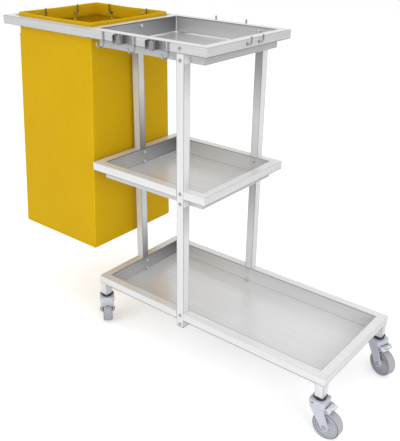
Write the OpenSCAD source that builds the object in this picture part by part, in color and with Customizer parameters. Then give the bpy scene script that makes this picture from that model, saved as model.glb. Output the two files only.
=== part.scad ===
// Stainless janitor cart: three folded trays on three posts, a hand loop that carries a waste bag,
// hooks and spring clips for tools, and four swivel casters. Millimetres, +Z up, the floor at Z = 0.

/* [Trays] */
// Depth of every tray, front to back
tray_d = 380; // [340:1:460]
// Length of the middle and top trays
tray_l = 425; // [400:1:520]
// Length of the base tray
base_l = 825; // [700:1:1000]
// Height from one tray rim to the next
tier = 390; // [320:1:450]
// Least depth of a pan below its rim
pan_depth = 50; // [40:1:80]
// Height of the turned-down lip
lip_h = 25; // [20:1:30]
// Thickness of the folded sheet
sheet = 1.2; // [0.8:0.1:2]
// Room between a post and the notch it passes through
notch_gap = 0.4; // [0.2:0.1:1]

/* [Frame tubes] */
// Outer width of the square tube
tube = 25; // [24:1:30]
// Wall of the square tube
tube_wall = 1.5; // [1:0.1:2.5]
// Front and back post centres, from the left end of the trays
post_x = 340; // [330:1:370]
// Reach of the hand loop beyond the trays
loop_reach = 368; // [340:1:420]
// Length of a leg below the base rim
leg_drop = 66; // [60:1:90]
// Face of an end cap or plug under its tube
cap_face = 2; // [1:0.5:4]
// Depth of an end cap or plug inside its tube
cap_depth = 30; // [20:1:45]
// Room between a plug and the tube's inside
cap_gap = 0.1; // [0.05:0.05:0.3]

/* [Bolts] */
// Diameter of the post bolts
bolt_d = 6; // [5:0.5:8]
// Head diameter of the post bolts
bolt_head_d = 11; // [10:0.5:14]
// Head height of the post bolts
bolt_head_h = 3.3; // [2:0.1:5]
// Drop from a tray rim to the upper bolt
bolt_drop = 12; // [9:0.5:14]
// Distance between the two bolts of a post
bolt_pitch = 30; // [24:0.5:40]
// Width across flats of a dome nut
nut_flats = 10; // [9:0.5:13]
// Height of a dome nut's hexagon
nut_h = 5; // [4:0.5:7]
// Least room between a lower nut and the pan's floor
nut_room = 1; // [0.5:0.5:5]
// Width across flats of a bolt's hexagon socket
bolt_socket = 3.2; // [2.5:0.1:4]
// Depth of a bolt's socket
bolt_socket_deep = 1.6; // [1:0.1:2]
// How far a dome stays inside its nut's flats
dome_inset = 0.3; // [0.2:0.1:1]
// Depth of a nut's bore inside its dome
dome_bore = 1.5; // [0.5:0.1:2.5]
// Head height of the screws that hold the hand loop
loop_screw_head_h = 4; // [3:0.5:5]
// Solid end of a loop plug beyond its screw
loop_screw_cover = 5; // [2:0.5:8]
// Radial room of a bolt in its hole
bolt_gap = 0.2; // [0.1:0.05:0.5]

/* [Waste bag] */
// Gap between the bag's mouth and the hand loop's end bar
bag_end_gap = 13; // [9:0.5:30]
// Room between an eyelet and the foot of the hook beside it
hang_room = 0.5; // [0.4:0.1:6]
// Height of the bag
bag_h = 706; // [500:1:740]
// Height of the bag's mouth above the hand loop
bag_rise = 10; // [4:1:20]
// Gap between the bag's mouth and the top tray's lip
bag_gap = 10; // [8:1:20]
// Thickness of the bag's wall
bag_wall = 2.5; // [1.5:0.1:4]
// Thickness of the folded hem round the mouth
hem_t = 5; // [3:0.5:8]
// Height of the hem
hem_h = 40; // [36:1:60]
// How far the end wall leans out at the bottom
flare_end = 36; // [0:1:38]
// How far the tray-side wall leans away from the posts at the bottom
lean_tray = 14; // [0:1:40]
// How far the front and back walls lean out at the bottom
flare_side = 18; // [0:1:25]

/* [Bag hooks and eyelets] */
// Wire of the hooks
wire_d = 5; // [4:0.5:6]
// Inner bend radius of a hook, at the middle of the wire
hook_bend = 6; // [5:0.5:8]
// Welded foot of a hook
foot_d = 10; // [9:0.5:14]
// Thickness of a hook's foot
foot_t = 1.5; // [1:0.1:3]
// Half the distance between the hooks of the long walls
hooks_half_x = 84; // [60:1:110]
// Half the distance between the hooks of the short walls
hooks_half_y = 66; // [50:1:110]
// Rise of a bag hook above its foot
bag_hook_rise = 24; // [16:1:32]
// Room between the bag's hem and the upturned wire
bag_hook_room = 6; // [4:0.5:10]
// Inner diameter of an eyelet
eyelet_d = 10; // [9:0.5:12]
// Wall of an eyelet's barrel
eyelet_wall = 1.2; // [0.8:0.1:2]
// Flange diameter of an eyelet
eyelet_flange_d = 18; // [16:0.5:24]
// Flange thickness of an eyelet
eyelet_flange_t = 1; // [0.6:0.1:1.5]
// Clearance where one piece rests in or hangs on another
seat_gap = 0.3; // [0.1:0.05:0.5]

/* [Tool hooks and clips] */
// First tool hook, from the left end of the tray
tool_hook_x = 72; // [50:1:90]
// Distance between tool hooks
tool_hook_pitch = 116; // [105:1:118]
// Straight stem of a tool hook
tool_stem = 28; // [24:1:40]
// Curl radius of a tool hook, at the middle of the wire
tool_curl = 13; // [10:0.5:18]
// Depth of the flat where a stem is welded to the lip
weld_flat = 0.4; // [0.2:0.1:0.8]
// Clip axis, from the tool hook on its left
clip_offset = 66; // [60:1:68]
// Radius that a clip grips
clip_r = 12.5; // [10:0.5:14]
// Thickness of a clip's spring steel
clip_t = 1.5; // [1:0.1:2]
// Height of a clip
clip_h = 24; // [16:1:25]
// Open angle of a clip's mouth
clip_mouth = 64; // [50:1:90]
// Half the width of a clip's plate on its plain side
clip_plate_left = 22; // [18:1:30]
// Half the width of a clip's plate on its screw side
clip_plate_right = 40; // [36:1:42]
// Clip screw, from the clip axis
clip_screw_x = 30; // [26:0.5:33]
// Diameter of the clip screws
screw_d = 4; // [3:0.5:5]
// Head diameter of the clip screws
screw_head_d = 8; // [7:0.5:10]
// Head height of the clip screws
screw_head_h = 2.2; // [1.5:0.1:3]
// Width of a clip screw's slot
screw_slot = 0.8; // [0.5:0.1:1.2]
// Length of a clip screw behind the lip
screw_tail = 5; // [3:0.5:10]
// Reach of the peg hooks
peg_reach = 15; // [13:1:34]
// Rise of the peg hooks
peg_rise = 19; // [14:1:32]
// First side peg hook, from the front of the tray
side_peg_y = 165; // [100:1:200]
// Distance between the side peg hooks
side_peg_pitch = 54; // [40:1:120]
// First back peg hook, from the left end of the tray
back_peg_x = 150; // [80:1:180]
// Distance between the back peg hooks
back_peg_pitch = 112; // [80:1:130]

/* [Casters] */
// Wheel diameter
wheel_d = 80; // [75:1:84]
// Wheel width
wheel_w = 28; // [24:1:30]
// Height from the floor to the leg's end
caster_h = 120; // [118:1:135]
// Distance of the axle behind the swivel axis
trail = 29; // [26:0.5:32]
// Room between the wheel and each fork cheek
cheek_gap = 3; // [2:0.5:4]
// Thickness of a fork cheek
cheek_t = 4; // [3:0.5:6]
// Radius of the cheek round the axle
cheek_end_r = 11; // [9:0.5:13]
// Width of the fork's head band
head_w = 46; // [44:1:52]
// Height of the fork's head band
head_h = 17; // [14:1:20]
// Corner radius of the head band
head_round = 8; // [4:0.5:12]
// Radius of the fork's crown
crown_r = 18; // [16:0.5:20]
// Depth of the crown's top below the top of the head band
crown_drop = 1; // [0.5:0.5:3]
// Room between the tyre and the crown over it
well_gap = 3; // [2:0.5:4]
// Rivet hole in the head band, from the swivel axis
rivet_hole_x = 11; // [8:0.5:13]
// Diameter of the rivet hole
rivet_hole_d = 6; // [4:0.5:7]
// Depth of the rivet hole
rivet_hole_deep = 2.5; // [1:0.5:4]
// Swivel journal diameter
journal_d = 12; // [10:0.5:14]
// Threaded shank of the caster stem
shank_d = 10; // [8:0.5:11.5]
// Width of the stem's head beyond its journal
stem_lip = 3; // [2:0.5:4]
// Thickness of the stem's head
stem_head_t = 3; // [2:0.5:4]
// Room round the stem's head inside the crown
cup_gap = 1; // [0.5:0.5:2]
// Solid end of the leg plug above the shank
shank_cover = 8; // [4:1:12]
// Swivel washer diameter
washer_d = 32; // [28:1:36]
// Swivel washer thickness
washer_t = 3; // [2:0.5:4]
// Square flange of the leg plug
plug_w = 29; // [28:0.5:34]
// Thickness of the leg plug's flange
plug_t = 4; // [3:0.5:6]
// Axle bolt diameter
axle_d = 8; // [6:0.5:9]
// Width of the axle's head beyond its bolt
axle_lip = 3; // [2:0.5:4]
// Thickness of the axle's head and nut
axle_head_t = 4; // [3:0.5:5]
// Taper of the axle's head
axle_head_taper = 2; // [1:0.5:2.5]
// Outer diameter of the axle sleeve
sleeve_d = 12; // [11:0.5:14]
// Wall of the hub's boss round the sleeve
boss_wall = 5; // [3:0.5:6]
// Gap between the boss and each cheek
boss_gap = 0.5; // [0.3:0.1:1]
// Depth of the dish in each side of the hub
hub_dish = 7; // [4:0.5:8]
// Set-back of the hub's rim behind the tyre's side
rim_back = 3; // [1:0.5:4]
// Thickness of the hub's rim
rim_t = 4; // [3:0.5:5]
// Width and height of the raised ring on the hub
ring_t = 2; // [1:0.5:3]
// Running clearance, radial
run_gap = 0.05; // [0.02:0.01:0.1]
// Tyre thickness
tyre_t = 10; // [8:0.5:12]
// Radius of the tyre's shoulders
shoulder = 5; // [2:0.5:7]
// Swivel angle of the front left caster
swivel_fl = 138; // [-180:1:180]
// Swivel angle of the front right caster
swivel_fr = 0; // [-180:1:180]
// Swivel angle of the back left caster
swivel_bl = 150; // [-180:1:180]
// Swivel angle of the back right caster
swivel_br = -21; // [-180:1:180]

/* [Brakes] */
// Room between the fork's head band and the pedal's hub
pin_room = 1; // [0.6:0.1:3]
// Pedal pin, above the axle
pin_above = 51; // [49:0.5:54]
// Pedal pin diameter
pin_d = 5; // [4:0.5:6]
// Width of the pin's riveted ends beyond the pin
pin_lip = 1.5; // [1:0.5:2]
// Thickness of the pin's riveted ends
pin_head_t = 1.5; // [1:0.5:2.5]
// Wall of the pedal's hub round the pin
pedal_hub_wall = 2.5; // [2:0.1:3]
// Wall of the fork's ear round the pin
ear_wall = 4; // [3:0.5:5]
// Gap between the pedal's hub and each ear
pedal_side_gap = 0.5; // [0.3:0.1:1]
// Direction of the shoe below the pedal's pin when pressed
shoe_pressed = 70; // [64:1:76]
// Pressed travel of the pedal, in degrees
pedal_travel = 15; // [10:1:18]
// Gap left between the brake shoe and the tyre when pressed
shoe_gap = 0.4; // [0.3:0.1:1]
// Radius of the brake shoe
shoe_r = 3; // [2:0.5:3.5]
// Length of the pedal's tread
pedal_l = 20; // [18:1:36]
// Width of the pedal's tread
pedal_w = 24; // [16:1:28]
// Thickness of the pedal's tread
pedal_t = 3; // [2:0.5:4]
// Upward tilt of the pedal at rest
pedal_tilt = 24; // [20:1:35]

/* [Hidden] */
$fn = 48;

// Small amount by which a cutter passes the face it cuts
cut = 1;
steel = "gainsboro";
bright = "whitesmoke";
dark = "dimgray";
caster_grey = "lavender";

// Heights
base_z = caster_h + leg_drop;
middle_z = base_z + tier;
top_z = middle_z + tier;

// A pan is at least deep enough for its lower nuts
nut_corner_d = nut_flats / cos(30);
pan_h = max(pan_depth, bolt_drop + bolt_pitch + nut_corner_d / 2 + nut_room + sheet);

// A rim is the lip, the tube behind it and the pan's wall
rim_w = tube + 2 * sheet;
tube_in = sheet;
tube_mid = sheet + tube / 2;

// How far a back caster's wheel stands out behind the tray when it is turned to an angle
function wheel_back(turn) =
    trail * sin(turn) + wheel_r * abs(sin(turn)) + wheel_w / 2 * abs(cos(turn)) - leg_inset;

// The frame's origin is the middle of the whole cart's outline
wheel_r = wheel_d / 2;
leg_inset = tube_mid;
caster_overhang = max(0, trail + wheel_r - leg_inset);
front_reach = clip_t + 2 * clip_r + clip_t;
tool_reach = max(front_reach, wire_d + 2 * tool_curl - weld_flat);
back_reach = max(peg_reach + wire_d / 2, wheel_back(swivel_bl), wheel_back(swivel_br));
x_left = (loop_reach - base_l - caster_overhang) / 2;
y_front = (tool_reach - tray_d - back_reach) / 2;
x_right = x_left + tray_l;
y_back = y_front + tray_d;
y_mid = y_front + tray_d / 2;

// Each corner's leg axis and swivel angle: front left, front right, back left, back right
legs = [
    [x_left + leg_inset, y_front + leg_inset],
    [x_left + base_l - leg_inset, y_front + leg_inset],
    [x_left + leg_inset, y_back - leg_inset],
    [x_left + base_l - leg_inset, y_back - leg_inset]
];
swivels = [swivel_fl, swivel_fr, swivel_bl, swivel_br];

// Posts as [x, y, turn]: turn points the outer face of the post to the front, back or left
posts = [
    [x_left + post_x, y_front + tube_mid, 0],
    [x_left + post_x, y_back - tube_mid, 180],
    [x_left + tube_mid, y_mid, -90]
];
post_foot_z = base_z - pan_h;
post_top_z = top_z - sheet;
tray_tops = [base_z, middle_z, top_z];

// Hand loop, and the bag's mouth and bottom
side_room = foot_t + eyelet_flange_t + hang_room;
bag_l = loop_reach - tube - bag_end_gap - bag_gap;
bag_w = tray_d - 2 * tube - 2 * side_room;
bag_x1 = x_left - bag_gap;
bag_x0 = bag_x1 - bag_l;
bag_mid_x = (bag_x0 + bag_x1) / 2;
bag_y0 = y_mid - bag_w / 2;
bag_top_z = top_z + bag_rise;
hem_z = bag_top_z - hem_h;
bag_floor_z = bag_top_z - bag_h;
loop_z = top_z - tube;
loop_x = x_left - loop_reach;
loop_screw_hole_d = bolt_d + 2 * bolt_gap;
hook_z = top_z - tube / 2;
eyelet_z = hook_z - (eyelet_d - wire_d) / 2 + seat_gap;
eyelet_barrel_d = eyelet_d + 2 * eyelet_wall;

// Bag hook roots as [x, y, turn, distance from root to the hem's outer face]
loop_in_x = loop_x + tube;
bag_roots = concat(
    [for (s = [-1, 1]) [loop_in_x, y_mid + s * hooks_half_y, 0, bag_x0 - loop_in_x]],
    [for (s = [-1, 1]) [x_left, y_mid + s * hooks_half_y, 180, bag_gap]],
    [for (s = [-1, 1]) [bag_mid_x + s * hooks_half_x, y_front + tube, 90, side_room]],
    [for (s = [-1, 1]) [bag_mid_x + s * hooks_half_x, y_back - tube, -90, side_room]]
);

// Tool hooks and clips along the front lip
tool_hooks_x = [for (i = [0:2]) x_left + tool_hook_x + i * tool_hook_pitch];
clips_x = [for (i = [0:1]) tool_hooks_x[i] + clip_offset];
clip_z = top_z - lip_h + (lip_h - clip_h) / 2;
clip_axis_y = y_front - clip_t - clip_r;

// Caster heights, from the leg down
plug_z = caster_h - plug_t;
washer_z = plug_z - washer_t;
head_top = washer_z - seat_gap;
head_z = head_top - head_h;
shank_l = plug_t + cap_depth - shank_cover;
stem_head_d = journal_d + 2 * stem_lip;
stem_head_z = head_z - seat_gap - stem_head_t;
cheek_in = wheel_w / 2 + cheek_gap;
cheek_out = cheek_in + cheek_t;
crown_z = head_top - crown_r - crown_drop;
axle_head_d = axle_d + 2 * axle_lip;
hub_r = wheel_r - tyre_t;
boss_r = sleeve_d / 2 + boss_wall;

// Brake pedal pin, shoe and ear
pedal_hub_r = pin_d / 2 + pedal_hub_wall;
ear_r = pin_d / 2 + ear_wall;
pin_x = head_w / 2 + pin_room + pedal_hub_r;
pin_ahead = trail - pin_x;
pin_z = wheel_r + pin_above;
shoe_rest = shoe_pressed - pedal_travel;
shoe_stop = wheel_r + shoe_r + shoe_gap;
shoe_b = pin_ahead * cos(shoe_pressed) + pin_above * sin(shoe_pressed);
shoe_c = pow(pin_ahead, 2) + pow(pin_above, 2) - pow(shoe_stop, 2);
shoe_reach = shoe_b - sqrt(shoe_b * shoe_b - shoe_c);

// Square tube standing on the origin, centred in plan
module square_tube(length) {
    inside = tube - 2 * tube_wall;
    difference() {
        translate([-tube / 2, -tube / 2, 0]) cube([tube, tube, length]);
        translate([-inside / 2, -inside / 2, -cut]) cube([inside, inside, length + 2 * cut]);
    }
}

// Square plug that fills the end of a tube, from the origin upwards
module tube_plug(depth) {
    width = tube - 2 * tube_wall - 2 * cap_gap;
    translate([-width / 2, -width / 2, 0]) cube([width, width, depth]);
}

// Bore along X through everything near a point
module bore_x(d, length) {
    rotate([0, 90, 0]) cylinder(d = d, h = length, center = true);
}

// Bore along Y through everything near a point
module bore_y(d, length) {
    rotate([90, 0, 0]) cylinder(d = d, h = length, center = true);
}

// Post bolt axes of one tray, seen from a post that faces the front
module bolt_places(rim_z) {
    for (post = posts, drop = [bolt_drop, bolt_drop + bolt_pitch])
        translate([post[0], post[1], rim_z - drop]) rotate([0, 0, post[2]]) children();
}

// Folded tray with its rim's top at rim_z: flange, lip, pan walls and floor
module folded_tray(length, rim_z) {
    inner = rim_w - sheet;
    translate([x_left, y_front, rim_z]) {
        difference() {
            translate([0, 0, -lip_h]) cube([length, tray_d, lip_h]);
            translate([sheet, sheet, -lip_h - cut])
                cube([length - 2 * sheet, tray_d - 2 * sheet, lip_h - sheet + cut]);
            translate([inner, inner, -lip_h - cut])
                cube([length - 2 * inner, tray_d - 2 * inner, lip_h + 2 * cut]);
        }
        difference() {
            translate([inner, inner, -pan_h]) cube([length - 2 * inner, tray_d - 2 * inner, pan_h]);
            translate([rim_w, rim_w, sheet - pan_h])
                cube([length - 2 * rim_w, tray_d - 2 * rim_w, pan_h + cut]);
        }
    }
}

// Notches where the three posts pass a tray's flange and lip
module post_notches(rim_z) {
    notch = tube + 2 * notch_gap;
    for (post = posts)
        translate([post[0], post[1], rim_z]) rotate([0, 0, post[2]])
            translate([-notch / 2, -tube / 2 - sheet - cut, -lip_h - cut])
                cube([notch, tube + sheet + cut, lip_h + 2 * cut]);
}

// A tray drilled for its posts
module drilled_tray(length, rim_z, notched) {
    difference() {
        folded_tray(length, rim_z);
        bolt_places(rim_z) bore_y(bolt_d + 2 * bolt_gap, 2 * rim_w);
        if (notched) post_notches(rim_z);
    }
}

module base_tray() {
    color(steel) drilled_tray(base_l, base_z, true);
}

module middle_tray() {
    color(steel) drilled_tray(tray_l, middle_z, true);
}

// The top tray has whole lips: the posts end under its flange, and its lip takes the loop and the clips
module top_tray() {
    color(steel) difference() {
        drilled_tray(tray_l, top_z, false);
        handle_screw_places() bore_x(loop_screw_hole_d, tube);
        clip_screw_places() bore_y(screw_d + 2 * bolt_gap, tube);
    }
}

// Legs stand in the base tray's corners, under its flange
module leg(i) {
    color(steel) translate([legs[i][0], legs[i][1], caster_h]) square_tube(leg_drop - sheet);
}

module post(i) {
    color(steel) difference() {
        translate([posts[i][0], posts[i][1], post_foot_z]) square_tube(post_top_z - post_foot_z);
        for (rim_z = tray_tops) bolt_places(rim_z) bore_y(bolt_d + 2 * bolt_gap, tube + cut);
    }
}

// Plastic caps in the open feet of the posts
module post_caps() {
    cap_clear = pan_h - bolt_drop - bolt_pitch - bolt_d / 2 - bolt_gap;
    color(dark) for (post = posts)
        translate([post[0], post[1], post_foot_z - cap_face]) {
            translate([-tube / 2, -tube / 2, 0]) cube([tube, tube, cap_face]);
            tube_plug(cap_face + cap_clear - seat_gap);
        }
}

// One button-head bolt: the head's seat at Y = 0, the shank along +Y
module button_bolt(grip) {
    rotate([-90, 0, 0]) {
        cylinder(d = bolt_d, h = grip + nut_h);
        difference() {
            intersection() {
                translate([0, 0, -bolt_head_h]) cylinder(d = bolt_head_d, h = bolt_head_h);
                sphere_r = (pow(bolt_head_d / 2, 2) + pow(bolt_head_h, 2)) / (2 * bolt_head_h);
                translate([0, 0, sphere_r - bolt_head_h]) sphere(r = sphere_r);
            }
            translate([0, 0, -bolt_head_h - cut])
                cylinder(d = bolt_socket / cos(30), h = bolt_socket_deep + cut, $fn = 6);
        }
    }
}

// The top tray's upper bolts pass the lip as well as the post and the pan's wall
module post_bolts() {
    color(bright) for (post = posts, rim_z = tray_tops, row = [0, 1]) {
        through_lip = rim_z == top_z && row == 0;
        seat = through_lip ? tube / 2 + sheet : tube / 2;
        grip = through_lip ? tube + 2 * sheet : tube + sheet;
        translate([post[0], post[1], rim_z - bolt_drop - row * bolt_pitch]) rotate([0, 0, post[2]])
            translate([0, -seat, 0]) button_bolt(grip);
    }
}

// One dome nut: its face at Y = 0, the dome along +Y
module dome_nut() {
    dome_r = nut_flats / 2 - dome_inset;
    rotate([-90, 0, 0]) difference() {
        union() {
            cylinder(d = nut_corner_d, h = nut_h, $fn = 6);
            translate([0, 0, nut_h]) sphere(r = dome_r);
        }
        translate([0, 0, -dome_r]) cylinder(d = bolt_d + 2 * bolt_gap, h = dome_r + nut_h + dome_bore);
        translate([0, 0, -2 * dome_r]) cylinder(r = 2 * dome_r, h = 2 * dome_r);
    }
}

// Dome nuts sit on the pans' inner faces, on the bolts
module dome_nuts() {
    color(bright) for (rim_z = tray_tops)
        bolt_places(rim_z) translate([0, tube / 2 + sheet, 0]) dome_nut();
}

// One side of the hand loop as a mitred bar in plan: from the corner at the origin along +X,
// its outer edge at Y = 0
module mitred_bar(length, both_ends) {
    far = both_ends ? length - tube : length;
    near_in = tube - tube_wall;
    far_in = both_ends ? length - near_in : length + cut;
    far_out = both_ends ? length - tube_wall : length + cut;
    difference() {
        linear_extrude(tube) polygon([[0, 0], [length, 0], [far, tube], [tube, tube]]);
        translate([0, 0, tube_wall]) linear_extrude(tube - 2 * tube_wall)
            polygon([[tube_wall, tube_wall], [far_out, tube_wall], [far_in, near_in], [near_in, near_in]]);
    }
}

module handle_arm_front() {
    color(steel) translate([loop_x, y_front, loop_z]) mitred_bar(loop_reach, false);
}

module handle_arm_back() {
    color(steel) translate([loop_x, y_back, loop_z]) mirror([0, 1, 0]) mitred_bar(loop_reach, false);
}

module handle_end_bar() {
    color(steel) translate([loop_x, y_front, loop_z]) mirror([1, -1, 0]) mitred_bar(tray_d, true);
}

// Screw axes that hold the loop's two ends to the top tray's left lip
module handle_screw_places() {
    for (y = [y_front + tube / 2, y_back - tube / 2])
        translate([x_left, y, hook_z]) children();
}

// Threaded plugs welded into the loop's ends
module handle_plugs() {
    color(steel) handle_screw_places() difference() {
        rotate([0, -90, 0]) tube_plug(cap_depth);
        bore_x(loop_screw_hole_d, 2 * (cap_depth - loop_screw_cover + seat_gap));
    }
}

// Screws with their heads in the channel behind the lip
module handle_screws() {
    color(bright) handle_screw_places() translate([sheet, 0, 0]) {
        rotate([0, 90, 0]) cylinder(d = nut_corner_d, h = loop_screw_head_h, $fn = 6);
        rotate([0, -90, 0]) cylinder(d = bolt_d, h = sheet + cap_depth - loop_screw_cover);
    }
}

// Four-sided prism between the mouth's outline and the bottom's, drawn in by an inset
module bag_body(inset, floor_z) {
    thin = 0.01;
    hull() {
        translate([bag_x0 + inset, bag_y0 + inset, hem_z - thin])
            cube([bag_l - 2 * inset, bag_w - 2 * inset, thin]);
        translate([bag_x0 - flare_end + inset, bag_y0 - flare_side + inset, floor_z])
            cube([bag_l + flare_end - lean_tray - 2 * inset, bag_w + 2 * flare_side - 2 * inset, thin]);
    }
}

// Coated-fabric bag, open at the top, with a thick hem pierced for the eyelets
module waste_bag() {
    color("goldenrod") difference() {
        union() {
            bag_body(0, bag_floor_z);
            translate([bag_x0, bag_y0, hem_z]) cube([bag_l, bag_w, hem_h]);
        }
        bag_body(bag_wall, bag_floor_z + bag_wall);
        translate([bag_x0 + bag_wall, bag_y0 + bag_wall, hem_z - cut])
            cube([bag_l - 2 * bag_wall, bag_w - 2 * bag_wall, cut]);
        translate([bag_x0 + hem_t, bag_y0 + hem_t, hem_z - cut])
            cube([bag_l - 2 * hem_t, bag_w - 2 * hem_t, hem_h + 2 * cut]);
        for (root = bag_roots)
            translate([root[0], root[1], eyelet_z]) rotate([0, 0, root[2]]) translate([root[3], 0, 0])
                bore_x(eyelet_barrel_d + 2 * bolt_gap, 4 * hem_t);
    }
}

// Metal eyelets clinched through the hem
module bag_eyelets() {
    color(bright) for (root = bag_roots)
        translate([root[0], root[1], eyelet_z]) rotate([0, 0, root[2]]) translate([root[3], 0, 0])
            rotate([0, 90, 0]) difference() {
                union() {
                    translate([0, 0, -eyelet_flange_t]) cylinder(d = eyelet_flange_d, h = eyelet_flange_t);
                    cylinder(d = eyelet_barrel_d, h = hem_t);
                    translate([0, 0, hem_t]) cylinder(d = eyelet_flange_d, h = eyelet_flange_t);
                }
                translate([0, 0, -eyelet_flange_t - cut])
                    cylinder(d = eyelet_d, h = hem_t + 2 * eyelet_flange_t + 2 * cut);
            }
}

// Wire bend in the XZ plane from direction +X to direction +Z, starting at the origin
module wire_bend(bend_r) {
    translate([0, 0, bend_r]) rotate([90, 0, 0]) rotate([0, 0, -90])
        rotate_extrude(angle = 90) translate([bend_r, 0]) circle(d = wire_d);
}

// Peg hook out of a face along +X, then up, with a round tip and a welded foot
module peg_hook(reach, rise) {
    rotate([0, 90, 0]) cylinder(d = foot_d, h = foot_t);
    rotate([0, 90, 0]) cylinder(d = wire_d, h = reach - hook_bend);
    translate([reach - hook_bend, 0, 0]) wire_bend(hook_bend);
    translate([reach, 0, hook_bend]) cylinder(d = wire_d, h = rise - hook_bend);
    translate([reach, 0, rise]) sphere(d = wire_d);
}

// Hooks on the loop and on the tray's left lip that pass the eyelets and turn up inside the bag
module bag_hooks() {
    color(bright) for (root = bag_roots)
        translate([root[0], root[1], hook_z]) rotate([0, 0, root[2]])
            peg_hook(root[3] + hem_t + bag_hook_room + wire_d / 2, bag_hook_rise);
}

// Tool hook on a face at X = 0: a flattened stem from the origin down, then a half-round curl along +X
module tool_hook() {
    stem_x = wire_d / 2 - weld_flat;
    difference() {
        union() {
            translate([stem_x, 0, -tool_stem]) cylinder(d = wire_d, h = tool_stem);
            translate([stem_x + tool_curl, 0, -tool_stem]) rotate([90, 0, 0]) rotate([0, 0, 180])
                rotate_extrude(angle = 180) translate([tool_curl, 0]) circle(d = wire_d);
            translate([stem_x + 2 * tool_curl, 0, -tool_stem]) sphere(d = wire_d);
        }
        translate([-wire_d, -wire_d, -tool_stem - tool_curl - wire_d])
            cube([wire_d, 2 * wire_d, tool_stem + tool_curl + 2 * wire_d]);
    }
}

module tool_hooks() {
    color(bright) for (x = tool_hooks_x)
        translate([x, y_front, top_z]) rotate([0, 0, -90]) tool_hook();
}

// Spring clip: a plate on the lip and two round jaws with a mouth to the front
module tool_clip(i) {
    mouth = 4 * clip_r;
    color(bright) difference() {
        translate([clips_x[i], clip_axis_y, clip_z]) {
            difference() {
                cylinder(r = clip_r + clip_t, h = clip_h);
                translate([0, 0, -cut]) cylinder(r = clip_r, h = clip_h + 2 * cut);
                translate([0, 0, -cut]) linear_extrude(clip_h + 2 * cut) polygon([
                    [0, 0],
                    [-mouth * sin(clip_mouth / 2), -mouth * cos(clip_mouth / 2)],
                    [mouth * sin(clip_mouth / 2), -mouth * cos(clip_mouth / 2)]
                ]);
            }
            for (s = [-1, 1])
                translate([s * (clip_r + clip_t / 2) * sin(clip_mouth / 2),
                           -(clip_r + clip_t / 2) * cos(clip_mouth / 2), 0])
                    cylinder(d = clip_t, h = clip_h);
            translate([-clip_plate_left, clip_r, 0])
                cube([clip_plate_left + clip_plate_right, clip_t, clip_h]);
        }
        clip_screw_places() bore_y(screw_d + 2 * bolt_gap, tube);
    }
}

module clip_screw_places() {
    for (x = clips_x)
        translate([x + clip_screw_x, y_front, clip_z + clip_h / 2]) children();
}

// Pan-head screws through the clip plates and the lip
module clip_screws() {
    color(bright) clip_screw_places() translate([0, -clip_t, 0]) {
        rotate([90, 0, 0]) difference() {
            cylinder(d = screw_head_d, h = screw_head_h);
            translate([-screw_head_d, -screw_slot / 2, screw_head_h / 2])
                cube([2 * screw_head_d, screw_slot, screw_head_h]);
        }
        rotate([-90, 0, 0]) cylinder(d = screw_d, h = clip_t + sheet + screw_tail);
    }
}

module side_hooks() {
    color(bright) for (i = [0, 1])
        translate([x_right, y_front + side_peg_y + i * side_peg_pitch, hook_z])
            peg_hook(peg_reach, peg_rise);
}

module back_hooks() {
    color(bright) for (i = [0, 1])
        translate([x_left + back_peg_x + i * back_peg_pitch, y_back, hook_z]) rotate([0, 0, 90])
            peg_hook(peg_reach, peg_rise);
}

// Square plugs under the legs, threaded for the caster stems
module leg_plugs() {
    color(dark) for (at = legs) translate([at[0], at[1], plug_z]) difference() {
        union() {
            translate([-plug_w / 2, -plug_w / 2, 0]) cube([plug_w, plug_w, plug_t]);
            tube_plug(plug_t + cap_depth);
        }
        translate([0, 0, -cut]) cylinder(d = shank_d + 2 * bolt_gap, h = shank_l + cut + seat_gap);
    }
}

// Stems: a shank in the leg plug, the swivel journal and the head that keeps the fork up
module caster_stems() {
    color(bright) for (at = legs) translate([at[0], at[1], 0]) {
        translate([0, 0, plug_z]) cylinder(d = shank_d, h = shank_l);
        translate([0, 0, stem_head_z]) cylinder(d = journal_d, h = plug_z - stem_head_z);
        translate([0, 0, stem_head_z]) cylinder(d = stem_head_d, h = stem_head_t);
    }
}

module swivel_washers() {
    color(dark) for (at = legs) translate([at[0], at[1], washer_z]) difference() {
        cylinder(d = washer_d, h = washer_t);
        translate([0, 0, -cut]) cylinder(d = journal_d + 2 * bolt_gap, h = washer_t + 2 * cut);
    }
}

// Puts a caster's piece at its leg, with its trail turned to the swivel angle
module at_caster(i) {
    translate([legs[i][0], legs[i][1], 0]) rotate([0, 0, swivels[i]]) children();
}

// Two circles and the straight sides that touch both
module link_outline(a, ra, b, rb) {
    run = b - a;
    span = norm(run);
    along = atan2(run[1], run[0]);
    side = acos((ra - rb) / span);
    translate(a) circle(r = ra);
    translate(b) circle(r = rb);
    polygon([
        a + ra * [cos(along + side), sin(along + side)],
        b + rb * [cos(along + side), sin(along + side)],
        b + rb * [cos(along - side), sin(along - side)],
        a + ra * [cos(along - side), sin(along - side)]
    ]);
}

// Square with round corners, centred
module rounded_square(width, r) {
    square([width - 2 * r, width], center = true);
    square([width, width - 2 * r], center = true);
    for (x = [-1, 1], y = [-1, 1])
        translate([x * (width / 2 - r), y * (width / 2 - r)]) circle(r = r);
}

// A fork seen from the side: a broad crown under the head band, drawn in to the axle
module fork_outline() {
    link_outline([trail, wheel_r], cheek_end_r, [0, crown_z], crown_r);
}

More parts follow.
